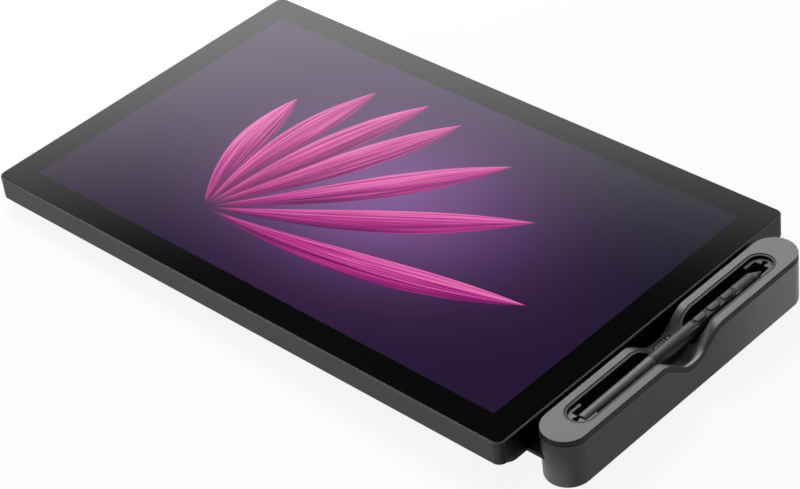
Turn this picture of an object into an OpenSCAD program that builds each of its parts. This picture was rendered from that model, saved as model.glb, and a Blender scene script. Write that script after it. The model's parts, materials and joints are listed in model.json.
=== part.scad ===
// Pen display with a pen tray on its right side and a pen lying in the tray.
// X runs right, Y runs to the back, Z runs up. All sizes are millimetres.
// The origin is the centre of the bolt pattern on the flat back face.

/* [Tablet] */
// width of the tablet
body_w = 421; // [380:1:460]
// depth of the tablet
body_d = 252; // [230:1:280]
// back face to the top of the glass
body_t = 22; // [18:0.5:26]
// plan radius of the four corners
corner_r = 5.5; // [5:0.5:12]
// height of the side wall, measured down from the glass
side_h = 16; // [12:0.5:17]
// bright chamfer around the top edge
chamfer = 0.5; // [0.3:0.1:0.7]
// thickness of the cover glass
glass_t = 1.8; // [1:0.1:2.2]
// width of the lit picture
active_w = 382; // [350:1:400]
// skin thickness of the rear cover
skin = 2.2; // [1.6:0.1:2.6]
// distance from the side wall to the foot of the raised back
back_inset = 22; // [18:1:30]
// plan radius of the raised back
back_r = 24; // [20:1:30]
// plan width of the slope around the raised back
back_slope = 12; // [8:1:16]

/* [Rear fittings] */
// spacing of the four mount threads
vesa_pitch = 100; // [75:25:100]
// radius of a mount thread
vesa_hole_r = 2; // [1.5:0.1:2.5]
// height of a rubber foot
foot_h = 2; // [1:0.5:3]
// distance of a key column from the middle
key_x = 160; // [150:1:164]
// place of the front key of a column, behind the middle
key_y = 8; // [4:1:12]
// distance between two keys of a column
key_pitch = 18; // [16:1:22]
// travel of a rear key
key_travel = 0.8; // [0.4:0.1:1]
// fan centre, left of the middle
fan_x = -112; // [-116:1:-105]
// fan centre, behind the middle
fan_y = 34; // [25:1:45]

/* [Tray] */
// outer width of the tray
tray_w = 28.5; // [28:0.5:34]
// outer length of the tray
tray_l = 212; // [200:0.5:230]
// height of the tray without its feet
tray_h = 33.5; // [30:0.5:40]
// air gap between tablet and tray
tray_gap = 3; // [1:0.5:4]
// skirt height of the tray cover
skirt_h = 3.4; // [2.5:0.1:4]
// width of the pen opening
open_w = 18.5; // [15:0.5:19]
// length of the pen opening
open_l = 176.5; // [170:0.5:180]
// depth of the finger dip in the rim
dip_depth = 12.4; // [8:0.1:13]
// half length of the flat floor of the dip
dip_in = 2; // [1:0.5:8]
// half length of the whole dip
dip_out = 26.5; // [22:0.5:32]
// extra depth of the scoop beside the pen
scoop_d = 6; // [3:0.5:6]
// depth of the pen trough
trough_d = 22; // [18:0.5:24]
// middle of a pen well's round inner end, from the middle of the tray
well_y = 20; // [18:2:22]
// number of spare nibs lying in the rack
nib_count = 6; // [4:1:6]

/* [Pen] */
// length of the pen
pen_l = 159; // [145:1:165]
// largest radius of the pen
pen_r = 4.6; // [4:0.1:4.8]
// depth of the pen axis below the tray rim
pen_drop = 7; // [6:0.25:8]
// distance from the tail to the seam of the barrel
pen_seam = 60; // [50:0.5:70]
// distance between two side switches
switch_pitch = 12.3; // [12:0.1:14]

/* [Hidden] */
$fn = 64;
e = 0.01;
top_z = body_t;
wall_z = top_z - side_h;
edge_x = body_w / 2;
edge_y = body_d / 2;
lip = 0.8;
glass_gap = 0.15;
wall_t = 1.4;
flange_z = wall_z + skin + 0.2;
ledge_z = top_z - glass_t - 0.3;
active_d = active_w * 9 / 16;
rebate = 4.2;
back_w = body_w - 2 * back_inset;
back_d = body_d - 2 * back_inset;
screw_in = 8;
bay_w = 96;
bay_y0 = 78;
bay_y1 = edge_y - back_inset;
bay_top = 11.2;
board_z = 8.2;
tray_x = edge_x + tray_gap + tray_w / 2;
tray_r = tray_w / 2;
tray_c = tray_l / 2 - tray_r;
open_r = open_w / 2;
open_c = open_l / 2 - open_r;
tray_z = top_z - tray_h;
tray_wall = 2;
liner_r = open_r - 0.15;
liner_t = 1.5;
liner_z = top_z - trough_d;
cradle_z = top_z - 2.4;
pen_z = top_z - pen_drop;
pen_y0 = 0.3 - pen_l / 2;
pen_y1 = pen_y0 + pen_l;
seam_y = pen_y0 + pen_seam;
switch_y = 35.6;
cone_y = pen_y1 - 9.2;
nib_pitch = 2.1;
nib_y = 1.05;
nib_r = 0.8;
nib_l = 8;
rack_r = 11.4;
rack_z = 5.9;
bracket_z0 = 3.2;
bracket_z1 = 5.8;
bracket_y = 105;
tongue_x = 172;
nib_x = -12.3;
dome_z = skin + 1.3 + key_travel;

// Profile swept around a rounded rectangle. In the profile x is measured
// outward from the corner centre and y is the height.
module sweep_rounded(w, d, r) {
    lx = w - 2 * r;
    ly = d - 2 * r;
    for (sx = [-1, 1], sy = [-1, 1])
        translate([sx * lx / 2, sy * ly / 2, 0])
            rotate(sx > 0 ? (sy > 0 ? 0 : 270) : (sy > 0 ? 90 : 180))
                rotate_extrude(angle = 90)
                    children();
    for (a = [0, 180])
        if (ly > e)
            rotate(a)
                translate([lx / 2, ly / 2, 0])
                    rotate([90, 0, 0])
                        linear_extrude(ly)
                            children();
    for (a = [90, 270])
        if (lx > e)
            rotate(a)
                translate([ly / 2, lx / 2, 0])
                    rotate([90, 0, 0])
                        linear_extrude(lx)
                            children();
}

// Solid slab whose rim is the swept profile.
module slab(w, d, r, z0, z1) {
    sweep_rounded(w, d, r)
        children();
    translate([-w / 2 + r, -d / 2 + r, z0])
        cube([w - 2 * r, d - 2 * r, z1 - z0]);
}

module round_rect(w, d, r) {
    square([w - 2 * r, d], center = true);
    square([w, d - 2 * r], center = true);
    for (sx = [-1, 1], sy = [-1, 1])
        translate([sx * (w / 2 - r), sy * (d / 2 - r)])
            circle(r);
}

// Long plan with round ends, along Y.
module stadium(l, w) {
    square([w, l - w], center = true);
    for (s = [-1, 1])
        translate([0, s * (l - w) / 2])
            circle(w / 2);
}

module plate(x, y, z0, z1) {
    translate([-x / 2, -y / 2, z0])
        cube([x, y, z1 - z0]);
}

module post(x, y, z0, z1, r) {
    translate([x, y, z0])
        cylinder(r = r, h = z1 - z0);
}

// Height lost to the finger dip at a place along the tray.
function ease(t) = t <= 0 ? 0 : t >= 1 ? 1 : t * t * (3 - 2 * t);
function dip(y) = dip_depth * ease((dip_out - abs(y)) / (dip_out - dip_in));

// Extra depth of the scoop on the outer side of the pen, and the floor's height.
function scoop(x, y) = scoop_d * dip(y) / dip_depth * ease((tray_r - 1 - x) / 7) * ease((x + 2) / 5);
function floor_z(x, y) = top_z - dip(y) - scoop(x, y);

// Sheet that follows the floor of the dip, from a height above it to a depth
// below it.
module floor_sheet(x0, x1, y1, up, down) {
    nx = 14;
    ny = y1;
    m = ny + 1;
    n = (nx + 1) * m;
    places = [for (i = [0 : nx], j = [0 : ny]) [x0 + (x1 - x0) * i / nx, -y1 + 2 * y1 * j / ny]];
    border = concat([for (j = [0 : ny - 1]) j], [for (i = [0 : nx - 1]) i * m + ny],
        [for (j = [ny : -1 : 1]) nx * m + j], [for (i = [nx : -1 : 1]) i * m]);
    b = len(border);
    polyhedron(
        points = concat([for (p = places) [p[0], p[1], floor_z(p[0], p[1]) + up]],
            [for (p = places) [p[0], p[1], floor_z(p[0], p[1]) - down]]),
        faces = concat(
            [for (i = [0 : nx - 1], j = [0 : ny - 1], f = [0, 1]) let (k = i * m + j)
                f == 0 ? [k, k + 1, k + m + 1] : [k, k + m + 1, k + m]],
            [for (i = [0 : nx - 1], j = [0 : ny - 1], f = [0, 1]) let (k = n + i * m + j)
                f == 0 ? [k + m + 1, k + 1, k] : [k + m, k + m + 1, k]],
            [for (i = [0 : b - 1], f = [0, 1]) let (k = border[i], l = border[(i + 1) % b])
                f == 0 ? [k, k + n, l + n] : [k, l + n, l]]),
        convexity = 6);
}

// Everything above the dipped rim, lowered by drop.
module above_rim(drop) {
    far = tray_l;
    curve = [for (y = [-28 : 1 : 28]) [y, top_z - drop - dip(y)]];
    translate([-tray_w, 0, 0])
        rotate([90, 0, 90])
            linear_extrude(2 * tray_w)
                polygon(concat([[-far, top_z - drop]], curve,
                    [[far, top_z - drop], [far, top_z + far], [-far, top_z + far]]));
}

module in_tray() {
    translate([tray_x, 0, 0])
        children();
}

// Turns a profile of radius and length into a piece along the pen axis.
module pen_turn() {
    translate([tray_x, 0, pen_z])
        rotate([-90, 0, 0])
            rotate_extrude()
                children();
}

// Tablet

module mid_frame_profile() {
    r = corner_r;
    b = 0.6;
    difference() {
        union() {
            translate([0, wall_z + b])
                square([r, top_z - 0.2 - wall_z - b]);
            translate([0, wall_z])
                square([r - b, b + e]);
            translate([r - b, wall_z + b])
                circle(b);
        }
        translate([r, top_z - 0.2])
            rotate(45)
                square(chamfer * sqrt(2), center = true);
        translate([-e, ledge_z])
            square([r - lip + e, 10]);
        translate([-e, flange_z + 1.6])
            square([r - wall_t + e, ledge_z - 1.5 - flange_z - 1.6]);
        translate([-e, wall_z - 1])
            square([r - rebate + 0.2 + e, flange_z - wall_z + 1]);
        translate([-e, wall_z])
            square([0.3, top_z]);
    }
}

module mid_frame() {
    color("#3c3d40")
        difference() {
            union() {
                sweep_rounded(body_w, body_d, corner_r)
                    mid_frame_profile();
                screw_places()
                    translate([0, 0, 1])
                        cylinder(r = screw_in - 1.1, h = 1.6);
            }
            screw_places()
                cylinder(r = 1.5, h = 4);
            translate([150, edge_y, 15])
                rotate([90, 0, 0])
                    linear_extrude(12, center = true)
                        round_rect(12.6, 3.6, 1.79);
            translate([112, edge_y, 15])
                rotate([90, 0, 0])
                    linear_extrude(12, center = true)
                        round_rect(13, 3.6, 1.79);
        }
}

// Ten screw places around the rear cover, at the lower face of its rim.
module screw_places() {
    x = edge_x - screw_in;
    y = edge_y - screw_in;
    for (p = [[-x, -80], [-x, 80], [x, -80], [x, 80], [-140, -y], [0, -y], [140, -y], [-140, y], [0, y], [140, y]])
        translate([p[0], p[1], flange_z - 1])
            children();
}

module cover_glass() {
    r = corner_r - lip - glass_gap;
    w = body_w - 2 * (lip + glass_gap);
    d = body_d - 2 * (lip + glass_gap);
    b = 0.1;
    color("#141417")
        slab(w, d, r, top_z - glass_t, top_z)
            polygon([[0, top_z - glass_t], [r, top_z - glass_t], [r, top_z - b], [r - b, top_z], [0, top_z]]);
}

module glass_gasket() {
    r = corner_r - lip - 0.6;
    color("#0d0d0d")
        sweep_rounded(body_w - 2 * lip - 1.2, body_d - 2 * lip - 1.2, r)
            translate([2.2, ledge_z])
                square([r - 2.2, 0.3]);
}

module lcd_panel() {
    z1 = top_z - glass_t;
    color("#3a2450")
        plate(active_w + 10, active_d + 10, z1 - 1.7, z1 - 0.1);
}

module backlight_unit() {
    z1 = top_z - glass_t - 1.8;
    color("#d8d8d4")
        difference() {
            plate(active_w + 10, active_d + 10, z1 - 2.6, z1);
            plate(active_w + 4, active_d + 4, z1 - 0.6, z1 + 1);
        }
}

module sensor_board() {
    z1 = top_z - glass_t - 4.5;
    color("#1f5a34")
        plate(active_w + 14, active_d + 12, z1 - 0.8, z1);
}

module shield_plate() {
    z1 = top_z - glass_t - 5.5;
    color("#8b8e92")
        difference() {
            plate(body_w - 18, body_d - 18, z1 - 1.2, z1);
            for (sx = [-1, 1], sy = [-1, 1])
                post(sx * 120, sy * 60, z1 - 2, z1 + 1, 8);
        }
}

module back_slab(rim, floor_x, z0, z1) {
    slab(back_w, back_d, back_r, z0, z1)
        polygon([[0, z0], [floor_x, z0], [rim, z1], [0, z1]]);
}

module key_places(side) {
    for (i = [0 : 3])
        translate([side * key_x, key_y + i * key_pitch, 0])
            children();
}

module vents() {
    for (i = [-4 : 4])
        translate([fan_x + i * 5, fan_y, -1])
            linear_extrude(skin + 2)
                stadium(2 * sqrt(23 * 23 - i * i * 25), 2.4);
    for (i = [-5 : 5])
        translate([fan_x + i * 5 - 1.3, bay_y1 - back_slope + 2, -1])
            cube([2.6, 8.5, wall_z + 0.9]);
}

module bay_walls() {
    translate([-bay_w / 2 - skin, bay_y0 - skin, 0.5])
        cube([bay_w + 2 * skin, bay_y1 - back_slope - bay_y0 + skin, bay_top + 1.5]);
    translate([-bay_w / 2 - skin, bay_y0, wall_z + 0.5])
        cube([bay_w + 2 * skin, bay_y1 + skin - bay_y0, bay_top - wall_z + 1.5]);
}

module port_holes() {
    translate([-30, bay_y0, 5.4])
        cube([15.4, 10, 6], center = true);
    for (x = [-6, 12, 30])
        translate([x, bay_y0, 6.4])
            rotate([90, 0, 0])
                linear_extrude(10, center = true)
                    round_rect(9.4, 3.6, 1.7);
}

module rear_cover() {
    run = back_slope / wall_z;
    gap = skin * sqrt(1 + run * run);
    color("#2b2c2f")
        difference() {
            union() {
                translate([0, 0, wall_z])
                    linear_extrude(skin)
                        round_rect(body_w - 2 * rebate, body_d - 2 * rebate, corner_r - rebate);
                back_slab(back_r, back_r - back_slope, 0, wall_z);
                bay_walls();
            }
            difference() {
                back_slab(back_r + (skin + 0.1) * run - gap, back_r - back_slope + skin * run - gap, skin,
                    wall_z + skin + 0.1);
                bay_walls();
            }
            translate([-bay_w / 2, bay_y0, -1])
                cube([bay_w, bay_y1 - bay_y0, bay_top + 1]);
            port_holes();
            vents();
            for (sx = [-1, 1], sy = [-1, 1])
                post(sx * vesa_pitch / 2, sy * vesa_pitch / 2, -1, skin + 1, 4.8);
            for (side = [-1, 1])
                key_places(side)
                    translate([0, 0, -1])
                        linear_extrude(skin + 2)
                            round_rect(14.6, 10.6, 3.3);
            for (y = [-60, 0, 60])
                translate([tongue_x, y - 10.4, bracket_z0 - 0.3])
                    cube([40, 20.8, wall_z - bracket_z0 + 0.3]);
            screw_places()
                union() {
                    cylinder(r = 1.7, h = 4);
                    translate([0, 0, -4])
                        cylinder(r = 3, h = 4);
                }
        }
}

module rear_screws() {
    color("#1c1c1e")
        screw_places()
            difference() {
                union() {
                    translate([0, 0, -1.2])
                        cylinder(r = 2.7, h = 1.2);
                    cylinder(r = 1.2, h = 3.4);
                }
                translate([0, 0, -2])
                    cylinder(r = 1.1, h = 1.5, $fn = 6);
            }
}

module rubber_feet() {
    color("#161617")
        for (sx = [-1, 1], sy = [-1, 1])
            translate([sx * 140, sy * 83, -foot_h])
                linear_extrude(foot_h)
                    round_rect(64, 11, 5.4);
}

module vesa_plate() {
    h = vesa_pitch / 2;
    color("#9a9da1")
        difference() {
            union() {
                plate(vesa_pitch + 26, vesa_pitch + 26, skin, skin + 2);
                for (sx = [-1, 1], sy = [-1, 1])
                    post(sx * h, sy * h, 0, 11.5, 4.5);
            }
            for (sx = [-1, 1], sy = [-1, 1])
                post(sx * h, sy * h, -1, 10.5, vesa_hole_r);
            plate(vesa_pitch - 30, vesa_pitch - 30, 0, 10);
        }
}

module main_board() {
    color("#1d4f2e")
        difference() {
            translate([-42, -44, board_z])
                cube([84, bay_y0 - skin + 44, 1.6]);
            for (sx = [-1, 1])
                post(sx * 36, -38, 0, 20, 1.6);
        }
    color("#202022") {
        translate([-16, 0, board_z + 1.6])
            cube([32, 32, 1.4]);
        for (x = [-34, 24])
            translate([x, -22, board_z + 1.6])
                cube([10, 16, 1]);
    }
}

module hdmi_port() {
    color("#b9bcc0")
        translate([-30, bay_y0 - 11.5, 5.4])
            rotate([-90, 0, 0])
                difference() {
                    linear_extrude(11.2)
                        round_rect(14.9, 5.5, 0.8);
                    translate([0, 0, 1])
                        linear_extrude(20)
                            round_rect(14.1, 4.7, 0.5);
                }
    color("#111111")
        translate([-30 - 5, bay_y0 - 10.5 - e, 5])
            cube([10, 7, 0.8]);
}

module usb_ports() {
    for (x = [-6, 12, 30]) {
        color("#b9bcc0")
            translate([x, bay_y0 - 8.5, 6.4])
                rotate([-90, 0, 0])
                    difference() {
                        linear_extrude(8.2)
                            round_rect(8.9, 3.2, 1.55);
                        translate([0, 0, 1])
                            linear_extrude(20)
                                round_rect(8.3, 2.6, 1.25);
                    }
        color("#111111")
            translate([x - 3.3, bay_y0 - 7.5 - e, 6.05])
                cube([6.6, 5, 0.7]);
    }
}

module heat_sink() {
    color("#a8abaf")
        translate([fan_x - 27, bay_y1 - back_slope - 21, skin + 0.6])
            union() {
                cube([54, 18, 1.2]);
                for (i = [0 : 17])
                    translate([i * 3.1, 0, 1])
                        cube([0.8, 18, 6.4]);
            }
}

module heat_pipe() {
    color("#b5713f")
        translate([fan_x - 4, 12, 11.3])
            union() {
                cube([14 - fan_x, 8, 1.6]);
                cube([8, 74, 1.6]);
            }
}

module fan_housing() {
    color("#222326")
        translate([fan_x, fan_y, 0])
            union() {
                difference() {
                    plate(60, 58, skin + 0.2, 10.8);
                    post(0, 0, skin + 1.2, 9.8, 27);
                    post(0, 0, 0, 20, 20);
                    translate([-22, 10, skin + 1.2])
                        cube([44, 40, 9.8 - skin - 1.2]);
                }
                for (a = [50, 170, 290])
                    rotate(a)
                        translate([0, -1.5, skin + 0.2])
                            cube([21, 3, 1]);
                post(0, 0, skin + 0.2, skin + 1.4, 6);
                post(0, 0, skin + 1, 8.6, 1.2);
            }
}

module fan_rotor() {
    color("#3a3b3e")
        translate([fan_x, fan_y, 0])
            difference() {
                union() {
                    post(0, 0, 4.1, 9.2, 10.5);
                    for (a = [0 : 30 : 330])
                        rotate(a)
                            translate([9.5, 0, 4.3])
                                rotate(-28)
                                    cube([15, 0.9, 4.6]);
                }
                post(0, 0, 3, 8.9, 1.6);
            }
}

module key_board(side) {
    color("#1d4f2e")
        translate([side * key_x, key_y + 1.5 * key_pitch, 0])
            plate(17, 3 * key_pitch + 16, dome_z + 0.3, dome_z + 1.5);
    color("#c9cacc")
        key_places(side)
            post(0, 0, dome_z, dome_z + 0.4, 2.2);
}

module key_board_left() {
    key_board(-1);
}

module key_board_right() {
    key_board(1);
}

module express_key(side, i) {
    color("#46474b")
        translate([side * key_x, key_y + i * key_pitch, 0])
            union() {
                translate([0, 0, -0.7])
                    linear_extrude(skin + 0.8)
                        round_rect(14, 10, 3);
                translate([0, 0, skin + 0.1])
                    linear_extrude(0.9)
                        round_rect(16.4, 12.4, 3.6);
            }
}

module express_key_1() {
    express_key(-1, 3);
}

module express_key_2() {
    express_key(-1, 2);
}

module express_key_3() {
    express_key(-1, 1);
}

module express_key_4() {
    express_key(-1, 0);
}

module express_key_5() {
    express_key(1, 3);
}

module express_key_6() {
    express_key(1, 2);
}

module express_key_7() {
    express_key(1, 1);
}

module express_key_8() {
    express_key(1, 0);
}

module power_button() {
    color("#55565a")
        translate([150, edge_y + 0.4, 15])
            rotate([90, 0, 0])
                union() {
                    linear_extrude(3)
                        round_rect(12, 3, 1.49);
                    translate([0, 0, 2.2])
                        linear_extrude(1)
                            round_rect(14, 4.6, 2.2);
                }
}

module touch_switch() {
    color("#55565a")
        translate([110, edge_y + 0.4, 15])
            rotate([90, 0, 0])
                union() {
                    linear_extrude(3)
                        round_rect(8, 3, 1.49);
                    translate([0, 0, 2.2])
                        linear_extrude(1)
                            round_rect(10, 4.6, 2.2);
                }
}

module control_board() {
    color("#1d4f2e")
        translate([100, edge_y - 6, 11.2])
            cube([62, 1.2, 6.4]);
    color("#202022")
        for (x = [111, 150])
            translate([x - 2.5, edge_y - 4.9, 13.5])
                cube([5, 1, 3]);
}

// Tray

module tray_body_profile() {
    b = 1.2;
    difference() {
        union() {
            translate([0, tray_z + b])
                square([tray_r, tray_h - b]);
            translate([0, tray_z])
                square([tray_r - b, b + e]);
            translate([tray_r - b, tray_z + b])
                circle(b);
        }
        translate([-e, tray_z + 2])
            square([tray_r - tray_wall + e, tray_h]);
        translate([-e, tray_z - 1])
            square([10, 5]);
    }
}

module tray_body() {
    color("#3b3c3f")
        in_tray()
            difference() {
                sweep_rounded(tray_w, tray_l, tray_r)
                    tray_body_profile();
                above_rim(skirt_h + 0.35);
                for (y = [-bracket_y - 0.2, 21.8])
                    translate([-tray_r - 1, y, bracket_z0 - 0.2])
                        cube([12, bracket_y - 21.6, bracket_z1 - bracket_z0 + 0.4]);
                for (y = [-70, -40, 40, 70])
                    translate([-tray_r + 0.6, y, -4])
                        rotate([0, 90, 0])
                            cylinder(r = 1.25, h = 3);
            }
}

// Cross section of the cover: distance, height below the rim, and whether the
// distance is taken inward from the outer plan or outward from the opening.
cover_profile = [
    [0, -skirt_h, 0], [0, -0.5, 0], [0.15, -0.15, 0], [0.5, 0, 0], [1.4, 0, 0], [2.5, 0, 0], [3.6, 0, 0],
    [0.3, 0, 1], [0.1, -0.1, 1], [0, -0.3, 1], [0, -1.6, 1], [1.5, -1.6, 1],
    [1.8, -1.6, 0], [1.8, -skirt_h, 0]
];
side_y = concat([-64, -46, -34], [for (y = [-28 : 2 : 28]) y], [34, 46, 64]);
turn = 12;

// One station of the cover: outward direction, outer centre, inner centre.
function station(a, s) = [[cos(a), sin(a)], [0, s * tray_c], [0, s * open_c]];
cover_path = concat(
    [for (y = side_y) [[1, 0], [0, y], [0, y]]],
    [for (i = [0 : turn]) station(180 * i / turn, 1)],
    [for (i = [len(side_y) - 1 : -1 : 0]) [[-1, 0], [0, side_y[i]], [0, side_y[i]]]],
    [for (i = [0 : turn]) station(180 + 180 * i / turn, -1)]
);
function cover_xy(s, p) = p[2] == 0 ? s[1] + (tray_r - p[0]) * s[0] : s[2] + (open_r + p[0]) * s[0];
function cover_point(s, p) = let (q = cover_xy(s, p)) [q[0], q[1], floor_z(q[0], q[1]) + p[1]];

// The rim dips like a saddle, so the cover is one closed loop of sections that
// rise and fall with the dip and keep their rounded edges. A bridge under the
// pen joins its two sides.
module tray_cover() {
    n = len(cover_path);
    m = len(cover_profile);
    color("#8a8b8e")
        in_tray()
            difference() {
                union() {
                    polyhedron(
                        points = [for (s = cover_path, p = cover_profile) cover_point(s, p)],
                        faces = [for (i = [0 : n - 1], j = [0 : m - 1], f = [0, 1])
                            let (k = (i + 1) % n, l = (j + 1) % m)
                            f == 0 ? [i * m + j, i * m + l, k * m + l] : [i * m + j, k * m + l, k * m + j]],
                        convexity = 8);
                    floor_sheet(-open_r - 0.3, open_r + 0.3, well_y, -0.12, 1.5);
                }
                for (s = [-1, 1])
                    post(0, s * well_y, 0, 2 * top_z, open_r);
                pen_groove(0.4);
                linear_extrude(2 * top_z)
                    rack_plan(0);
            }
}

// Room for the pen where it crosses the dip.
module pen_groove(gap) {
    translate([0, 0, pen_z])
        rotate([90, 0, 0])
            cylinder(r = pen_r + gap, h = 2 * well_y, center = true);
}

// Plan of the nib rack: a round end towards the tablet, square towards the pen.
module rack_plan(gap) {
    d = (nib_count + 1) * nib_pitch;
    intersection() {
        translate([-1.4, nib_y])
            circle(rack_r - gap);
        translate([-20, nib_y - d / 2 + gap])
            square([17.6 - gap, d - 2 * gap]);
    }
}

// Nib places along the dip, each at the height of the rim there. The row of
// nib ends follows the round end of the rack.
module nib_places() {
    for (i = [0 : nib_count - 1])
        let (k = i - (nib_count - 1) / 2, y = nib_y + k * nib_pitch)
        translate([nib_x + 0.24 * k * k, y, top_z - dip(y) - 0.1])
            rotate([0, 90, 0])
                children();
}

module tray_liner() {
    color("#1b1b1d")
        in_tray()
            difference() {
                union() {
                    for (s = [-1, 1])
                        translate([0, 0, liner_z])
                            linear_extrude(trough_d)
                                well_plan(s, liner_r);
                    plate(11, 2 * well_y, liner_z, liner_z + 1.2);
                    for (y = [-4, 4])
                        translate([-11.5, nib_y + y - 0.8, liner_z])
                            cube([8, 1.6, rack_z - liner_z - 0.1]);
                    for (y = [-75, -30, 30, 75])
                        post(0, y, tray_z + 3.8, liner_z + 1, 3);
                }
                for (s = [-1, 1])
                    translate([0, 0, liner_z + 1.2])
                        linear_extrude(trough_d)
                            well_plan(s, liner_r - liner_t);
                above_rim(0.5);
                floor_sheet(-2.4, tray_r, 28, 20, 0.5);
                pen_groove(0.5);
                for (y = [-75, -30, 30, 75])
                    post(0, y, tray_z, liner_z - 1, 1.4);
            }
}

// Plan of one of the two pen wells.
module well_plan(s, r) {
    translate([0, s * (open_c + well_y) / 2])
        stadium(open_c - well_y + 2 * r, 2 * r);
}

module cradle(s) {
    r = liner_r - liner_t - 0.1;
    end_y = 81;
    color("#7d7e81")
        in_tray()
            difference() {
                translate([0, 0, liner_z + 1.3])
                    linear_extrude(cradle_z - liner_z - 1.3)
                        intersection() {
                            stadium(2 * open_c + 2 * r, 2 * r);
                            translate([-r - 1, s > 0 ? 72.5 : -172.5])
                                square([2 * r + 2, 100]);
                        }
                translate([-5, s > 0 ? 60 : -end_y, pen_z - pen_r - 0.3])
                    cube([10, end_y - 60, 40]);
                post(0, s * 83.6, liner_z + 6, top_z, 1.7);
                translate([-1, s > 0 ? 80 : -83.6, liner_z + 6])
                    cube([2, 3.6, 40]);
            }
}

module cradle_front() {
    cradle(-1);
}

module cradle_rear() {
    cradle(1);
}

module nib_rack() {
    color("#55565a")
        in_tray()
            difference() {
                union() {
                    translate([0, 0, rack_z + 0.6])
                        linear_extrude(8)
                            rack_plan(0.15);
                    translate([-11.9, nib_y - 9, rack_z])
                        cube([9.9, 18, top_z - dip_depth - 1.7 - rack_z]);
                }
                above_rim(0.4);
                nib_places()
                    translate([0, 0, -2])
                        cylinder(r = nib_r + 0.1, h = 20);
            }
}

module spare_nibs() {
    color("#c9cacc")
        in_tray()
            nib_places()
                union() {
                    translate([0, 0, nib_r])
                        sphere(r = nib_r, $fn = 24);
                    translate([0, 0, nib_r])
                        cylinder(r = nib_r, h = nib_l - nib_r, $fn = 24);
                }
}

module tray_base() {
    color("#2b2c2f")
        in_tray()
            difference() {
                union() {
                    translate([0, 0, tray_z])
                        linear_extrude(2.2)
                            stadium(tray_l - 2 * tray_r + 19.6, 19.6);
                    translate([0, 0, tray_z + 2.1])
                        linear_extrude(1.6)
                            stadium(tray_l - 2 * tray_wall - 0.4, tray_w - 2 * tray_wall - 0.4);
                }
                for (y = [-75, -30, 30, 75]) {
                    post(0, y, tray_z - 1, tray_z + 9, 1.6);
                    post(0, y, tray_z - 1, tray_z + 1.6, 2.9);
                }
            }
}

module base_screws() {
    color("#1c1c1e")
        in_tray()
            for (y = [-75, -30, 30, 75])
                difference() {
                    union() {
                        post(0, y, tray_z + 0.2, tray_z + 1.6, 2.7);
                        post(0, y, tray_z + 1.5, tray_z + 9, 1.2);
                    }
                    translate([0, y, tray_z - 0.2])
                        cylinder(r = 1.1, h = 1.2, $fn = 6);
                }
}

module tray_feet() {
    color("#161617")
        in_tray()
            for (y = [-86, -52.5, 52.5, 86])
                translate([0, y, tray_z - 1])
                    linear_extrude(1)
                        stadium(y == -86 || y == 86 ? 16 : 30, 12);
}

module tray_bracket() {
    inner = tray_x - tray_r + tray_wall + 0.2;
    t = bracket_z1 - bracket_z0;
    x0 = edge_x - back_inset + 2;
    x1 = edge_x - 0.3;
    color("#19191b")
        difference() {
            union() {
                translate([(x0 + x1) / 2, 0, bracket_z0])
                    linear_extrude(t)
                        round_rect(x1 - x0, body_d - 10, 8);
                translate([x0, -88, bracket_z0])
                    cube([inner + 2 - x0, 176, t]);
                for (s = [-1, 1])
                    translate([x0, s > 0 ? 87.8 : -bracket_y, bracket_z0])
                        cube([tray_x - 4.4 - x0, bracket_y - 87.8, t]);
                for (y = [-60, 0, 60])
                    translate([tongue_x + 2, y - 10, bracket_z0])
                        cube([30, 20, t]);
                for (y = [-88, 22])
                    translate([inner, y, tray_z + 4.2])
                        cube([2, 66, bracket_z1 - tray_z - 4.2]);
            }
            translate([tray_x - tray_r - 0.2, -22, 0])
                cube([20, 44, 20]);
            for (y = [-70, -40, 40, 70])
                translate([inner - 1, y, -4])
                    rotate([0, 90, 0])
                        cylinder(r = 1.4, h = 6);
        }
}

module bracket_screws() {
    inner = tray_x - tray_r + tray_wall + 0.2;
    color("#b0b2b5")
        for (y = [-70, -40, 40, 70])
            translate([inner, y, -4])
                rotate([0, 90, 0])
                    difference() {
                        union() {
                            translate([0, 0, -1.5])
                                cylinder(r = 1.2, h = 4);
                            translate([0, 0, 2])
                                cylinder(r = 2.4, h = 1.3);
                        }
                        translate([0, 0, 2.5])
                            cylinder(r = 1, h = 2, $fn = 6);
                    }
}

// Pen

module pen_tail_cap() {
    color("#4c4d50")
        pen_turn()
            difference() {
                union() {
                    translate([0, pen_y0 + 0.5])
                        square([3.82, 6.5]);
                    translate([0, pen_y0])
                        square([3.32, 2]);
                    translate([3.32, pen_y0 + 0.5])
                        circle(0.5, $fn = 32);
                    translate([0, pen_y0 + 7])
                        square([3.1, 4]);
                }
                translate([-20, pen_y0 - 5])
                    square([20, 30]);
            }
}

module pen_rear_barrel() {
    y0 = pen_y0 + 7.1;
    y1 = seam_y - 0.2;
    color("#4c4d50")
        pen_turn()
            polygon([[3.2, y0], [3.82, y0], [4, y1 - 18], [pen_r - 0.35, y1], [3.2, y1]]);
}

module pen_seam_ring() {
    color("#1b1b1d")
        pen_turn()
            polygon([[2.6, seam_y - 4], [3.1, seam_y - 4], [3.1, seam_y - 0.2], [pen_r - 0.65, seam_y - 0.2],
                [pen_r - 0.65, seam_y + 0.2], [3.1, seam_y + 0.2], [3.1, seam_y + 4], [2.6, seam_y + 4]]);
}

// Pill plan along the pen, centred on the switch group.
module switch_plan(y, l, w) {
    translate([tray_x, y])
        stadium(l, w);
}

module pen_shell(y0, y1, ra, rb) {
    pen_turn()
        translate([ra, y0])
            square([rb - ra, y1 - y0]);
}

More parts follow.
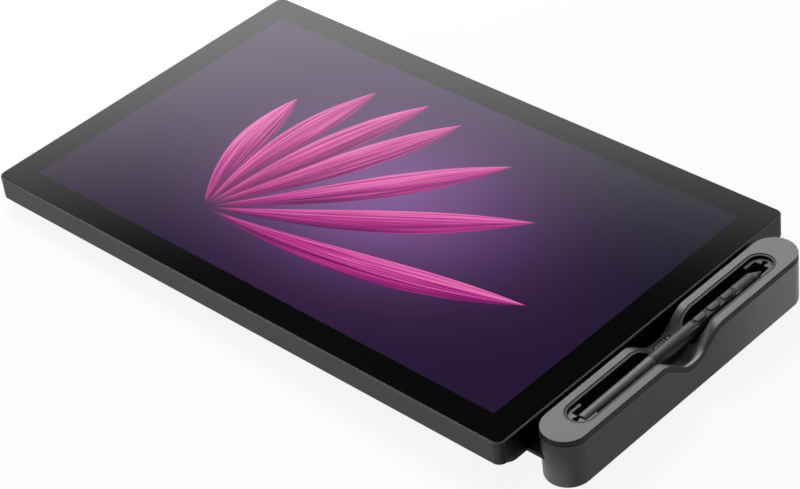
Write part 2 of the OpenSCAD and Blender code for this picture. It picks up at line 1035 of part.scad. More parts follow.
module pen_front_barrel() {
    y0 = seam_y + 0.2;
    y1 = cone_y;
    color("#47484b")
        difference() {
            pen_turn()
                polygon([[3.2, y0], [pen_r - 0.3, y0], [pen_r, y0 + 16], [pen_r, y1 - 10], [pen_r - 0.1, y1],
                    [3.2, y1]]);
            translate([0, 0, pen_z])
                linear_extrude(20)
                    switch_plan(switch_y, 38, 7);
        }
}

module pen_switch_bezel() {
    color("#2b2c2f")
        difference() {
            intersection() {
                pen_shell(switch_y - 30, switch_y + 30, 3.3, pen_r - 0.05);
                translate([0, 0, pen_z])
                    linear_extrude(20)
                        switch_plan(switch_y, 37.2, 6.2);
            }
            translate([0, 0, pen_z])
                linear_extrude(20)
                    for (i = [-1 : 1])
                        switch_plan(switch_y + i * switch_pitch, 9.4, 5.2);
        }
}

module pen_switch(i) {
    color("#5a5b5f")
        intersection() {
            pen_shell(switch_y - 30, switch_y + 30, 3.35, pen_r + 0.3);
            translate([0, 0, pen_z + 2.4])
                linear_extrude(20)
                    switch_plan(switch_y + i * switch_pitch, 8.6, 4.4);
        }
}

module pen_switch_rear() {
    pen_switch(-1);
}

module pen_switch_middle() {
    pen_switch(0);
}

module pen_switch_front() {
    pen_switch(1);
}

module pen_cone() {
    y0 = cone_y + 0.1;
    y1 = pen_y1 - 1.8;
    color("#47484b")
        pen_turn()
            polygon([[2.5, y0 - 6], [3.1, y0 - 6], [3.1, y0], [pen_r - 0.11, y0], [1.4, y1], [1.1, y1], [1.1, y1 - 3],
                [2.5, y0 + 2]]);
}

module pen_nib() {
    r = 0.8;
    color("#c9cacc")
        pen_turn()
            difference() {
                union() {
                    translate([0, cone_y - 12])
                        square([r, pen_y1 - r - cone_y + 12]);
                    translate([0, pen_y1 - r])
                        circle(r, $fn = 32);
                }
                translate([-5, cone_y - 20])
                    square([5, 60]);
            }
}

module pen_core() {
    color("#1d4f2e")
        difference() {
            pen_turn()
                translate([0, pen_y0 + 12])
                    square([2.5, cone_y - 13 - pen_y0 - 12]);
            translate([tray_x - 5, seam_y + 12, pen_z + 1.6])
                cube([10, 66, 10]);
        }
}

cover_glass();
glass_gasket();
lcd_panel();
backlight_unit();
sensor_board();
shield_plate();
mid_frame();
rear_cover();
rear_screws();
rubber_feet();
vesa_plate();
main_board();
hdmi_port();
usb_ports();
heat_sink();
heat_pipe();
fan_housing();
fan_rotor();
key_board_left();
key_board_right();
express_key_1();
express_key_2();
express_key_3();
express_key_4();
express_key_5();
express_key_6();
express_key_7();
express_key_8();
power_button();
touch_switch();
control_board();
tray_body();
tray_cover();
tray_liner();
cradle_front();
cradle_rear();
nib_rack();
spare_nibs();
tray_base();
base_screws();
tray_feet();
tray_bracket();
bracket_screws();
pen_tail_cap();
pen_rear_barrel();
pen_seam_ring();
pen_front_barrel();
pen_switch_bezel();
pen_switch_rear();
pen_switch_middle();
pen_switch_front();
pen_cone();
pen_nib();
pen_core();
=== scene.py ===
import bpy, json, math
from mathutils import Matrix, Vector

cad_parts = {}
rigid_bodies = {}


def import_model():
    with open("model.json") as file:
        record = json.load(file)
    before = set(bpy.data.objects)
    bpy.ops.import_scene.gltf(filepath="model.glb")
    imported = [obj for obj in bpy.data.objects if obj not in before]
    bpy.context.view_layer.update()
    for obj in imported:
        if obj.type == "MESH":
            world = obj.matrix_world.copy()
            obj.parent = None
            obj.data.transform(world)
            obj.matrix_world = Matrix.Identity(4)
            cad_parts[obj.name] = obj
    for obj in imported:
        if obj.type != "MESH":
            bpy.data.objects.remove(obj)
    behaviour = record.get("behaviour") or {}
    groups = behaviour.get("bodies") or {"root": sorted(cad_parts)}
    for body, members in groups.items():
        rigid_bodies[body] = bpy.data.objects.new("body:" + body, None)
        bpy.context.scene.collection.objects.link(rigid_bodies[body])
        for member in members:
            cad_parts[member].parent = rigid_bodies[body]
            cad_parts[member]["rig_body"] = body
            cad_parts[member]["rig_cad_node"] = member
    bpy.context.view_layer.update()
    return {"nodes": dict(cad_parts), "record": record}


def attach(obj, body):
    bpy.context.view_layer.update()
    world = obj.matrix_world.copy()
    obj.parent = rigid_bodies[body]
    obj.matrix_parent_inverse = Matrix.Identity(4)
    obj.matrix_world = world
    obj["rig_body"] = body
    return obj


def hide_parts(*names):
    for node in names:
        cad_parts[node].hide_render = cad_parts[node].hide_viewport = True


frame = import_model()
scene = bpy.context.scene
scene.view_settings.view_transform = "Standard"
record = frame["record"]
bodyOf = {node: body for body, group in record["behaviour"]["bodies"].items() for node in group}
slotOf = {part["node"]: part["material_slot"] for part in record["subparts"]}
print("frame loaded,", len(frame["nodes"]), "solids")


class Wire:  # a socket that takes arithmetic
    def __init__(self, paint, socket):
        self.paint, self.socket = paint, socket

    def maths(self, operation, *rest):
        return self.paint.node("ShaderNodeMath", {"operation": operation}, dict(enumerate((self,) + rest)))

    def __add__(self, other):
        return self.maths("ADD", other)

    def __mul__(self, other):
        return self.maths("MULTIPLY", other)

    __radd__, __rmul__ = __add__, __mul__

    def __sub__(self, other):
        return self.maths("SUBTRACT", other)

    def __rsub__(self, other):
        return self.paint.node("ShaderNodeMath", {"operation": "SUBTRACT"}, {0: other, 1: self})

    def __truediv__(self, other):
        return self.maths("DIVIDE", other)

    def __neg__(self):
        return self.maths("MULTIPLY", -1.0)

    def __abs__(self):
        return self.maths("ABSOLUTE")

    def most(self, other):
        return self.maths("MAXIMUM", other)

    def swing(self, span):  # a noise from 0 to 1, moved to lie about zero
        return (self - 0.5) * span

    def rise(self, low, high):  # 0 at low, 1 at high, smooth between
        return self.paint.node("ShaderNodeMapRange", {"interpolation_type": "SMOOTHSTEP", "clamp": True},
                               {"Value": self, "From Min": low, "From Max": high, "To Min": 0.0, "To Max": 1.0})


class Nodes:  # a node tree that is filled one node at a time
    def __init__(self, tree):
        self.tree = tree
        self.tree.nodes.clear()

    def node(self, kind, settings, sockets, out=0):
        made = self.tree.nodes.new(kind)
        for key, value in settings.items():
            if key == "stops":
                ramp = made.color_ramp
                while len(ramp.elements) < len(value):
                    ramp.elements.new(0.5)
                for element, (spot, colour) in zip(ramp.elements, value):
                    element.position, element.color = spot, (*colour, 1)
            else:
                setattr(made, key, value)
        for key, value in sockets.items():
            self.feed(made.inputs[key], value)
        return Wire(self, made.outputs[out])

    def feed(self, target, value):
        if isinstance(value, Wire):
            self.tree.links.new(value.socket, target)
        elif isinstance(value, tuple) and target.type == "RGBA":
            target.default_value = (*value, 1.0)
        else:
            target.default_value = value


class Paint(Nodes):  # one material and the nodes that feed it
    def __init__(self, name):
        self.material = bpy.data.materials.new(name)
        self.material.use_nodes = True
        super().__init__(self.material.node_tree)
        self.output = self.tree.nodes.new("ShaderNodeOutputMaterial")
        self.shader = self.tree.nodes.new("ShaderNodeBsdfPrincipled")
        self.tree.links.new(self.shader.outputs[0], self.output.inputs[0])
        self.place = self.node("ShaderNodeTexCoord", {}, {}, "Object")

    def set(self, **values):
        for key, value in values.items():
            self.feed(self.shader.inputs[key.replace("_", " ")], value)

    def axes(self):
        split = self.node("ShaderNodeSeparateXYZ", {}, {0: self.place})
        return [Wire(self, split.socket.node.outputs[i]) for i in range(3)]

    def facing(self, axis="Z"):  # how far the surface looks along an axis, from -1 to 1
        normal = self.node("ShaderNodeTexCoord", {}, {}, "Normal")
        return self.node("ShaderNodeSeparateXYZ", {}, {0: normal}, axis)

    def noise(self, scale, detail, rough, place=None, **settings):
        return self.node("ShaderNodeTexNoise", settings,
                         {"Vector": place or self.place, "Scale": scale, "Detail": detail, "Roughness": rough})

    def mix(self, share, first, second):
        made = self.tree.nodes.new("ShaderNodeMix")
        made.data_type = "RGBA"
        for socket, value in ((made.inputs["Factor"], share), (made.inputs[6], first), (made.inputs[7], second)):
            self.feed(socket, value)
        return Wire(self, made.outputs[2])

    def bump(self, height, strength, distance):
        return self.node("ShaderNodeBump", {}, {"Strength": strength, "Distance": distance, "Height": height})


def shade(colour, amount):
    return tuple(channel * amount for channel in colour)


# Moulded and painted skins: colour, roughness, grain size per metre, grain depth in metres, mottling
skins = {
    "rear_plastic": dict(colour=(0.030, 0.031, 0.034), rough=0.55, grain=2600, depth=0.00006, mottle=0.10),
    "tray_plastic": dict(colour=(0.014, 0.014, 0.015), rough=0.55, grain=3400, depth=0.00003, mottle=0.06,
                         sheen=1.0, sheenRough=0.5, sheenFrom=(0.005, 0.095),
                         endSheen=((-0.099, -0.106), (0.018, -0.008))),
    # tray_top: the side and slope tones are painted shade, the bowl and far tones are painted light
    "tray_top": dict(colour=(0.030, 0.030, 0.031), rough=0.58, grain=3800, depth=0.00003, mottle=0.05, index=1.75,
                     middle=0.22775, straight=0.09175, ring=(0.0115, 0.0128), sideShadeFacing=(0.60, 0.25),
                     sides=(0.028, 0.028, 0.029), sideMetal=1.0, length=(-0.11, 0.11), far=(0.100, 0.100, 0.102),
                     slopeShadeTone=(0.010, 0.010, 0.011), slopeShade=0.72, slopeUp=(0.99, 0.80), slopeX=(-0.45, -0.10),
                     bowlLight=(0.27, 0.27, 0.273), bowlX=(0.0010, 0.0035), bowlY=(0.020, 0.008), bowlZ=(0.0130, 0.0085)),
    # cradle: the deep tone is painted shade down in the trough
    "cradle": dict(colour=(0.040, 0.040, 0.041), rough=0.58, grain=3400, depth=0.00003, mottle=0.05, index=1.75,
                   deep=(0.006, 0.006, 0.006), deepFrom=(0.0180, 0.0187)),
    # liner: its near-black colour is painted shade in the wells; the rim tone is the grey plastic
    "liner": dict(colour=(0.0025, 0.0025, 0.0025), rough=0.75, grain=2800, depth=0.00004, mottle=0.12, shine=0.2,
                  rim=(0.095, 0.095, 0.097), rimUp=(0.4, 0.7), rimFrom=(0.008, 0.019)),
    "rack": dict(colour=(0.006, 0.006, 0.006), rough=0.60, grain=2800, depth=0.00004, mottle=0.10, shine=0.3),
    "pen_plastic": dict(colour=(0.012, 0.012, 0.013), rough=0.55, grain=4200, depth=0.00002, mottle=0.06, index=1.85),
    "pen_grip": dict(colour=(0.010, 0.010, 0.011), rough=0.50, grain=3600, depth=0.00003, mottle=0.08, index=1.56),
    "pen_dark": dict(colour=(0.004, 0.004, 0.004), rough=0.60, grain=4200, depth=0.00002, mottle=0.08, shine=0.2),
    "pen_switch": dict(colour=(0.012, 0.012, 0.013), rough=0.55, grain=5000, depth=0.00001, mottle=0.05, index=1.58),
    "button_plastic": dict(colour=(0.060, 0.060, 0.064), rough=0.45, grain=3800, depth=0.00002, mottle=0.06),
    "nib": dict(colour=(0.20, 0.20, 0.205), rough=0.40, grain=5200, depth=0.00001, mottle=0.06),
    "rubber": dict(colour=(0.011, 0.011, 0.011), rough=0.78, grain=2200, depth=0.00008, mottle=0.15),
    "foam": dict(colour=(0.012, 0.012, 0.012), rough=0.85, grain=1500, depth=0.00012, mottle=0.20),
    "lcd": dict(colour=(0.050, 0.020, 0.080), rough=0.25, grain=900, depth=0.00001, mottle=0.08),
    "diffuser": dict(colour=(0.72, 0.72, 0.69), rough=0.60, grain=1800, depth=0.00002, mottle=0.04),
    "fan_plastic": dict(colour=(0.024, 0.024, 0.026), rough=0.50, grain=2600, depth=0.00003, mottle=0.08),
    "bracket_steel": dict(colour=(0.006, 0.006, 0.006), rough=0.55, grain=2400, depth=0.00006, mottle=0.12,
                          shine=0.25),
    "screw_black": dict(colour=(0.020, 0.020, 0.021), rough=0.34, grain=3000, depth=0.00002, mottle=0.12, metal=0.6),
}
# What the skins share unless they say otherwise; a noise has its scale per metre, detail and roughness
moulding = dict(metal=0.0, shine=0.5, index=1.5, grainNoise=(2.0, 0.6), grainStrength=0.35, grainRough=0.10,
                patches=(38.0, 3.0, 0.55), patchSpan=(0.3, 0.7), patchRough=0.5)


def trayTop(paint, look, tone):  # painted shade: dark metal-like sides and darker slopes; painted light: a lighter bowl beside the pen and a lighter far end
    x, y, z = paint.axes()
    aside = x - look["middle"]
    beyond = (abs(y) - look["straight"]).most(0.0)
    out = (aside * aside + beyond * beyond).maths("SQRT").rise(*look["ring"])
    # painted shade: outside the ring and facing away from up, the sides get a dark metal-like tone
    upper = 1 - out * paint.facing().rise(*look["sideShadeFacing"])
    # painted light: a lighter patch in the bowl beside the pen
    bowlLight = aside.rise(*look["bowlX"]) * abs(y).rise(*look["bowlY"]) * z.rise(*look["bowlZ"])
    # painted shade: slopes leaning towards the pen are darker and metal-like
    leaning = paint.facing().rise(*look["slopeUp"]) * paint.facing("X").rise(*look["slopeX"])
    slope = leaning * (1 - bowlLight) * look["slopeShade"]
    # painted light: the top grows lighter towards the far end
    top = paint.mix(slope, paint.mix(y.rise(*look["length"]), tone, look["far"]), look["slopeShadeTone"])
    metal = (1 - upper) * look["sideMetal"] + upper * slope
    return paint.mix(upper, look["sides"], paint.mix(bowlLight, top, look["bowlLight"])), metal


def mouldedSkin(name, ownLook):
    look = {**moulding, **ownLook}
    paint = Paint(name)
    grain = paint.noise(look["grain"], *look["grainNoise"])
    patches = paint.noise(*look["patches"])
    drift = patches.swing(2 * look["mottle"])
    darker, lighter = shade(look["colour"], 1 - look["mottle"]), shade(look["colour"], 1 + look["mottle"])
    tone = paint.mix(patches.rise(*look["patchSpan"]), darker, lighter)
    metal = look["metal"]
    # the tray top gets its painted shade and painted light
    if "sides" in look:
        tone, metal = trayTop(paint, look, tone)
    if "sheen" in look:  # glossier towards the far end and low on the near end
        x, y, z = paint.axes()
        nearEnd, low = look["endSheen"]
        gloss = y.rise(*look["sheenFrom"]) + y.rise(*nearEnd) * z.rise(*low)
        paint.set(Coat_Weight=gloss * look["sheen"], Coat_Roughness=look["sheenRough"])
    if "rim" in look:  # painted shade: the liner is near black down in the wells; its upper edge, facing up, shows the grey of the plastic
        rim = paint.facing().rise(*look["rimUp"]) * paint.axes()[2].rise(*look["rimFrom"])
        tone = paint.mix(rim, tone, look["rim"])
    if "deep" in look:  # painted shade: below this height, down in the trough, the piece is near black
        tone = paint.mix(paint.axes()[2].rise(*look["deepFrom"]), look["deep"], tone)
    paint.set(Base_Color=tone, Metallic=metal, Specular_IOR_Level=look["shine"], IOR=look["index"],
              Roughness=look["rough"] + drift * look["patchRough"] + grain.swing(look["grainRough"]),
              Normal=paint.bump(grain, look["grainStrength"], look["depth"]))
    return paint.material


metals = {
    "sheet_metal": dict(colour=(0.46, 0.47, 0.49), rough=0.36),
    "steel": dict(colour=(0.42, 0.43, 0.44), rough=0.32),
    "connector_shell": dict(colour=(0.50, 0.51, 0.53), rough=0.26),
    "copper": dict(colour=(0.55, 0.24, 0.10), rough=0.34),
}
rolling = dict(stretch=(120.0, 4200.0, 4200.0), noise=(1.0, 2.0, 0.5), dark=0.86, light=1.10, roughSwing=0.16,
               strength=0.2, depth=0.00002)


def rolledMetal(name, look):
    paint = Paint(name)
    stretch = paint.node("ShaderNodeMapping", {}, {"Vector": paint.place, "Scale": rolling["stretch"]})
    lines = paint.noise(*rolling["noise"], stretch)
    darker, lighter = shade(look["colour"], rolling["dark"]), shade(look["colour"], rolling["light"])
    paint.set(Base_Color=paint.mix(lines, darker, lighter), Metallic=1.0,
              Roughness=look["rough"] + lines.swing(rolling["roughSwing"]),
              Normal=paint.bump(lines, rolling["strength"], rolling["depth"]))
    return paint.material


boardLook = dict(mask=(0.014, 0.085, 0.038), trace=(0.024, 0.135, 0.060), pads=(0.45, 0.38, 0.22),
                 cellScale=260.0, dotScale=330.0, trackEdge=(0.10, 0.04), padEdge=(0.14, 0.10),
                 rough=0.42, padSmooth=0.1, padMetal=0.8, strength=0.3, depth=0.00004)


def circuitBoard(name, look):
    paint = Paint(name)
    cells = paint.node("ShaderNodeTexVoronoi", {"feature": "DISTANCE_TO_EDGE"},
                       {"Vector": paint.place, "Scale": look["cellScale"]})
    dots = paint.node("ShaderNodeTexVoronoi", {}, {"Vector": paint.place, "Scale": look["dotScale"]})
    tracks = cells.rise(*look["trackEdge"])
    pads = dots.rise(*look["padEdge"])
    tone = paint.mix(pads, paint.mix(tracks, look["mask"], look["trace"]), look["pads"])
    paint.set(Base_Color=tone, Roughness=look["rough"] - look["padSmooth"] * pads, Metallic=pads * look["padMetal"],
              Normal=paint.bump(tracks, look["strength"], look["depth"]))
    return paint.material


# The frame: dark coat, a painted highlight as a bright line low on the chamfer, painted shade in the gap round the
# glass and on the side beside the tray
frameLook = dict(colour=(0.020, 0.021, 0.023), rough=0.36, metal=0.55,
                 # the bright chamfer tone is a painted highlight; the gap and tray-side tones are painted shade
                 bright=(0.22, 0.22, 0.225), chamferFrom=0.02128, chamferFade=0.00006,
                 brightTo=0.02148, brightFade=0.00004, gap=(0.004, 0.004, 0.004), flatUp=(0.80, 0.90),
                 trayShadeTone=(0.010, 0.010, 0.010), dockFacing=(0.55, 0.99),
                 grain=(4200.0, 2.0, 0.6), grainRough=0.12, rimRough=0.15, strength=0.3, depth=0.00003,
                 patches=(30.0, 3.0, 0.5), patchSpan=(0.3, 0.7), dark=0.95, light=1.05)


def framePaint(name, look):
    paint = Paint(name)
    z = paint.axes()[2]
    up = paint.facing()
    rim = z.rise(look["chamferFrom"], look["chamferFrom"] + look["chamferFade"])
    # painted highlight: a bright band low on the chamfer
    highlightBand = rim * up.rise(*reversed(look["flatUp"])) * z.rise(look["brightTo"] + look["brightFade"], look["brightTo"])
    # painted shade: the flat lip in the gap round the glass
    flat = rim * up.rise(*look["flatUp"])
    # painted shade: the side facing the tray is darker
    trayShade = paint.facing("X").rise(*look["dockFacing"]) * (1 - rim)
    grain = paint.noise(*look["grain"])
    patches = paint.noise(*look["patches"])
    darker, lighter = shade(look["colour"], look["dark"]), shade(look["colour"], look["light"])
    coat = paint.mix(patches.rise(*look["patchSpan"]), darker, lighter)
    coat = paint.mix(trayShade, coat, look["trayShadeTone"])
    tone = paint.mix(flat, paint.mix(highlightBand, coat, look["bright"]), look["gap"])
    paint.set(Base_Color=tone, Metallic=look["metal"] * (1 - rim) + trayShade * (1 - look["metal"]),
              Roughness=look["rough"] + grain.swing(look["grainRough"]) + rim * look["rimRough"],
              Normal=paint.bump(grain * (1 - rim), look["strength"], look["depth"]))
    return paint.material


# The picture on the glass: slim strand-lined petals over a violet glow, in metres from the middle of the glass
picture = dict(halfWide=0.191, halfDeep=0.10745, middle=(0.0005, -0.0007), edgeFade=0.0001, faceFrom=(0.0216, 0.0218),
               glow=(0.205, 0.088, 0.285), glowSpread=(0.090, 0.066), haze=(9.0, 2.0, 0.5), hazeSwing=0.25,
               dusk=(0.018, 0.007, 0.033), far=(0.036, 0.012, 0.060), farLean=(0.5, 0.9), farSpan=(-0.02, 0.12),
               night=(0.011, 0.010, 0.024), nightLean=(0.9, 1.1), nightSpan=(0.10, 0.24))
# Petals from one root, each with its angle in degrees, length and bend; strands are a noise drawn out along them
petalLook = dict(root=(-0.078, -0.072), half=0.0115, fullness=3.6, belly=0.55, leastHalf=0.0003, edgeFade=0.0006,
                 rootFade=0.12, strandsAcross=7.0, strandsAlong=1.6, apart=(13.7, 5.1), strandNoise=(1.0, 2.0, 0.65),
                 sideSpan=(-0.1, 1.0), sideLight=0.34, tipSpan=(0.0, 0.8), tipLight=0.16, dim=0.25,
                 petals=((2, 0.225, 0.16), (118, 0.120, -0.20), (24, 0.205, 0.12), (98, 0.150, -0.16),
                         (62, 0.172, 0.05), (80, 0.165, -0.08), (43, 0.190, 0.08)),
                 strands=((0.20, (0.045, 0.004, 0.045)), (0.40, (0.230, 0.010, 0.140)),
                          (0.58, (0.500, 0.030, 0.260)), (0.78, (0.800, 0.170, 0.450))))
glass = dict(border=(0.0018, 0.0018, 0.0020), behindPicture=(0.0012, 0.0010, 0.0014), rough=0.06, index=1.31,
             grain=(3000.0, 2.0, 0.6), grainRough=0.02)


def petal(paint, x, y, look, i):  # where the petal lies and its colour there
    angle, length, bend = look["petals"][i]
    turn = math.radians(angle)
    east, north = x - look["root"][0], y - look["root"][1]
    along = (east * math.cos(turn) + north * math.sin(turn)) / length
    across = north * math.cos(turn) - east * math.sin(turn) - along * along * (bend * length)
    half = along * (1 - along) * (look["belly"] + along) * (look["fullness"] * look["half"])
    ratio = across / half.most(look["leastHalf"])
    inside = (half - abs(across)).rise(0.0, look["edgeFade"]) * along.rise(0.0, look["rootFade"])
    flow = paint.node("ShaderNodeCombineXYZ", {}, {0: ratio * look["strandsAcross"] + look["apart"][0] * i,
                                                   1: along * look["strandsAlong"] + look["apart"][1] * i, 2: 0.0})
    strand = paint.noise(*look["strandNoise"], flow, noise_dimensions="2D")
    side = (ratio * 0.5 + 0.5).rise(*look["sideSpan"]) * look["sideLight"]
    swell = side + along.rise(*look["tipSpan"]) * look["tipLight"] - look["dim"]
    return inside, paint.node("ShaderNodeValToRGB", {"stops": look["strands"]}, {0: strand + swell})


def screenGlass(name, look, sheet):
    paint = Paint(name)
    x, y, z = paint.axes()
    fade = look["edgeFade"]
    inX = abs(x - look["middle"][0]).rise(look["halfWide"] + fade, look["halfWide"] - fade)
    inY = abs(y - look["middle"][1]).rise(look["halfDeep"] + fade, look["halfDeep"] - fade)
    lit = inX * inY * z.rise(*look["faceFrom"])
    wide, deep = look["glowSpread"]
    haze = paint.noise(*look["haze"]).swing(look["hazeSwing"])
    spread = (-(x * x / (wide * wide) + y * y / (deep * deep)) + haze).maths("EXPONENT")
    farX, farY = look["farLean"]
    nightX, nightY = look["nightLean"]
    sky = paint.mix((y * farY - x * farX).rise(*look["farSpan"]), look["dusk"], look["far"])
    sky = paint.mix((x * nightX + y * nightY).rise(*look["nightSpan"]), sky, look["night"])
    sky = paint.mix(spread, sky, look["glow"])
    for i in range(len(petalLook["petals"])):
        inside, tone = petal(paint, x, y, petalLook, i)
        sky = paint.mix(inside, sky, tone)
    paint.set(Base_Color=paint.mix(lit, sheet["border"], sheet["behindPicture"]),
              Emission_Color=paint.mix(lit, (0.0, 0.0, 0.0), sky), Emission_Strength=1.0,
              Roughness=sheet["rough"] + paint.noise(*sheet["grain"]).swing(sheet["grainRough"]), IOR=sheet["index"])
    return paint.material


finishes = {slot: mouldedSkin(slot, look) for slot, look in skins.items()}
finishes.update({slot: rolledMetal(slot, look) for slot, look in metals.items()})
finishes["circuit_board"] = circuitBoard("circuit_board", boardLook)
finishes["frame_metal"] = framePaint("frame_metal", frameLook)
finishes["screen_glass"] = screenGlass("screen_glass", picture, glass)
finishOf = {"pen_front_barrel": "pen_grip", "pen_switch_bezel": "pen_grip"}
print("finishes made:", len(finishes))


def onlySelect(piece):
    bpy.ops.object.select_all(action="DESELECT")
    piece.select_set(True)
    bpy.context.view_layer.objects.active = piece


# How the facets of a solid are merged: weld distance in metres, angles in degrees
smoothing = dict(weld=0.000002, flatTo=0.4, bevelSteps=2, curveTo=32, flatWeight=80)


def rounded(node, edge, angle):  # the solid with its facets merged and its edges broken
    source = frame["nodes"][node]
    piece = source.copy()
    piece.data = source.data.copy()
    piece.name = node + "_piece"
    piece.parent = None
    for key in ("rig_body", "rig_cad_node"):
        if key in piece:
            del piece[key]
    scene.collection.objects.link(piece)
    onlySelect(piece)
    bpy.ops.object.mode_set(mode="EDIT")
    bpy.ops.mesh.select_all(action="SELECT")
    bpy.ops.mesh.remove_doubles(threshold=smoothing["weld"])
    bpy.ops.mesh.dissolve_limited(angle_limit=math.radians(smoothing["flatTo"]))
    bpy.ops.object.mode_set(mode="OBJECT")
    if edge:
        bevel = piece.modifiers.new("brokenEdge", "BEVEL")
        bevel.width, bevel.segments, bevel.use_clamp_overlap = edge, smoothing["bevelSteps"], True
        bevel.limit_method, bevel.angle_limit = "ANGLE", math.radians(angle)
        bpy.ops.object.modifier_apply(modifier="brokenEdge")
    bpy.ops.object.shade_smooth_by_angle(angle=math.radians(angle))
    flatFirst = piece.modifiers.new("flatFirst", "WEIGHTED_NORMAL")
    flatFirst.mode, flatFirst.weight, flatFirst.keep_sharp = "FACE_AREA", smoothing["flatWeight"], True
    bpy.ops.object.modifier_apply(modifier="flatFirst")
    piece.data.materials.clear()
    piece.data.materials.append(finishes[finishOf.get(node, slotOf[node])])
    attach(piece, bodyOf[node])
    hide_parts(node)


# How far each outer solid's edges are broken, in metres; 0 only smooths it
edgeBreak = {
    "mid_frame": 0.0, "tray_body": 0.0, "tray_cover": 0.0, "tray_liner": 0.0001,
    "cradle_front": 0.0003, "cradle_rear": 0.0003, "spare_nibs": 0.0, "tray_bracket": 0.0002,
    "tray_feet": 0.0002, "tray_base": 0.0002, "rubber_feet": 0.0003, "rear_cover": 0.0,
    "pen_tail_cap": 0.0, "pen_rear_barrel": 0.0, "pen_front_barrel": 0.0, "pen_switch_bezel": 0.0,
    "pen_switch_rear": 0.0002, "pen_switch_middle": 0.0002, "pen_switch_front": 0.0002,
    "pen_cone": 0.0, "pen_nib": 0.0, "pen_seam_ring": 0.0, "power_button": 0.0002, "touch_switch": 0.0002,
}
edgeBreak.update({"express_key_%d" % i: 0.0003 for i in range(1, 9)})
curveTo = {"rear_cover": 12}  # degrees, where they differ from those in smoothing
for node, edge in edgeBreak.items():
    rounded(node, edge, curveTo.get(node, smoothing["curveTo"]))
for node, solid in frame["nodes"].items():
    solid.data.materials.clear()
    solid.data.materials.append(finishes[slotOf[node]])
print("pieces dressed:", len(edgeBreak))


def rayKinds(nodes):  # 1 for rays straight from the camera, off gloss and through glass
    ray = nodes.node("ShaderNodeLightPath", {}, {})
    kinds = ("Camera", "Glossy", "Transmission")
    return [Wire(nodes, ray.socket.node.outputs["Is %s Ray" % kind]) for kind in kinds]


# Table top: it touches the left rubber feet and the feet of the tray, each given as x and z
table = dict(leftFoot=(-0.172, -0.002), trayFoot=(0.22175, -0.0125), drop=0.00005, reach=6.0,
             colour=(0.90, 0.90, 0.90), rough=0.9, glow=0.90)
(footX, footZ), (trayX, trayZ) = table["leftFoot"], table["trayFoot"]
slope = (trayZ - footZ) / (trayX - footX)
bpy.ops.mesh.primitive_plane_add(size=2 * table["reach"], location=(0, 0, 0))
floor = bpy.context.object
floor.name = "tableTop"
for vertex in floor.data.vertices:
    vertex.co.z = footZ + slope * (vertex.co.x - footX) - table["drop"]
floorPaint = Paint("tableTop")
floorPaint.set(Base_Color=table["colour"], Roughness=table["rough"], Specular_IOR_Level=0.0)
glow = floorPaint.node("ShaderNodeEmission", {}, {"Color": (1.0, 1.0, 1.0), "Strength": 1.0})
direct, gloss, through = rayKinds(floorPaint)
seen = direct.most(gloss).most(through)
blend = floorPaint.node("ShaderNodeMixShader", {}, {0: seen * table["glow"],
                                                    1: Wire(floorPaint, floorPaint.shader.outputs[0]), 2: glow})
floorPaint.tree.links.new(blend.socket, floorPaint.output.inputs[0])
floor.data.materials.append(floorPaint.material)

# Studio: a soft sky, a bright card behind the object under a dim ceiling, and four wide lamps
studio = dict(sky=0.06, ceiling=0.04, card=4.2, cardTop=(30.5, 36.3), cardFoot=(14.0, 26.0), footDim=0.1,
              cardTilt=0.17, cardShift=0.7, cardWay=(0.62, 0.78), cardEnds=(0.25, 0.65))
lamps = {
    "keyLamp": dict(spot=(-0.80, 0.34, 1.40), aim=(0.10, 0.0, 0.0), size=0.8, power=22.5),
    "overhead": dict(spot=(-0.36, 0.06, 1.75), aim=(0.10, 0.0, 0.0), size=1.0, power=7.0),
    "frontFill": dict(spot=(0.30, -1.45, 0.40), aim=(0.1, -0.1, 0.0), size=0.5, power=0.8),
    "leftFill": dict(spot=(-1.10, -0.75, 0.30), aim=(-0.2, -0.12, 0.0), size=0.4, power=1.2),
}
world = bpy.data.worlds.new("studio")
scene.world = world
world.use_nodes = True
sky = Nodes(world.node_tree)
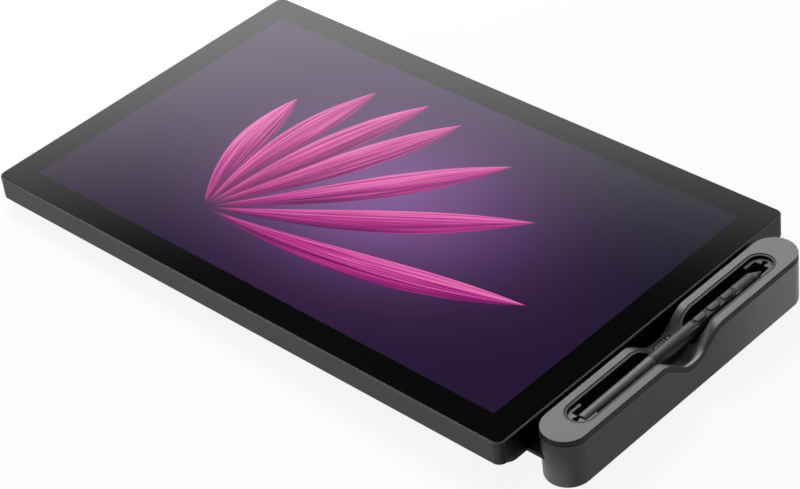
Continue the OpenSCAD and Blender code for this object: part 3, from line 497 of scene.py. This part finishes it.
direct, gloss, through = rayKinds(sky)
toward = sky.node("ShaderNodeSeparateXYZ", {}, {0: sky.node("ShaderNodeTexCoord", {}, {}, "Generated")})
east, north, height = (Wire(sky, toward.socket.node.outputs[i]) for i in range(3))
topLow, topHigh = (math.sin(math.radians(a)) for a in studio["cardTop"])
footSpan = [math.sin(math.radians(a)) for a in studio["cardFoot"]]
foot = height.rise(*footSpan) * (1 - studio["footDim"]) + studio["footDim"]
behind = (north * studio["cardWay"][1] - east * studio["cardWay"][0]).rise(*studio["cardEnds"])
below = (height - (east + studio["cardShift"]) * studio["cardTilt"]).rise(topHigh, topLow)
walls = studio["ceiling"] + behind * foot * below * studio["card"]
level = studio["sky"] + direct.most(through) * (1 - studio["sky"]) + gloss * (walls - studio["sky"])
skyLight = sky.node("ShaderNodeBackground", {}, {"Color": (1.0, 1.0, 1.0), "Strength": level})
sky.tree.links.new(skyLight.socket, sky.tree.nodes.new("ShaderNodeOutputWorld").inputs[0])
for name, lamp in lamps.items():
    light = bpy.data.lights.new(name, "AREA")
    light.shape, light.size, light.energy = "DISK", lamp["size"], lamp["power"]
    holder = bpy.data.objects.new(name, light)
    scene.collection.objects.link(holder)
    holder.location = lamp["spot"]
    holder.rotation_euler = (Vector(lamp["aim"]) - Vector(lamp["spot"])).to_track_quat("-Z", "Y").to_euler()

# Camera as fitted to the photograph: turn in degrees, lens and sensor in millimetres
shot = dict(spot=(0.91372, -0.81551, 0.90493), turn=(52.7344, 5.9127, 43.2861), lens=112.348, sensor=36.0,
            clip=(0.01, 50.0))
camera = bpy.data.cameras.new("shot")
camera.sensor_fit, camera.sensor_width, camera.lens = "HORIZONTAL", shot["sensor"], shot["lens"]
camera.clip_start, camera.clip_end = shot["clip"]
cameraHolder = bpy.data.objects.new("shot", camera)
scene.collection.objects.link(cameraHolder)
cameraHolder.location = shot["spot"]
cameraHolder.rotation_euler = [math.radians(a) for a in shot["turn"]]
scene.camera = cameraHolder
print("stage, lamps and camera set")
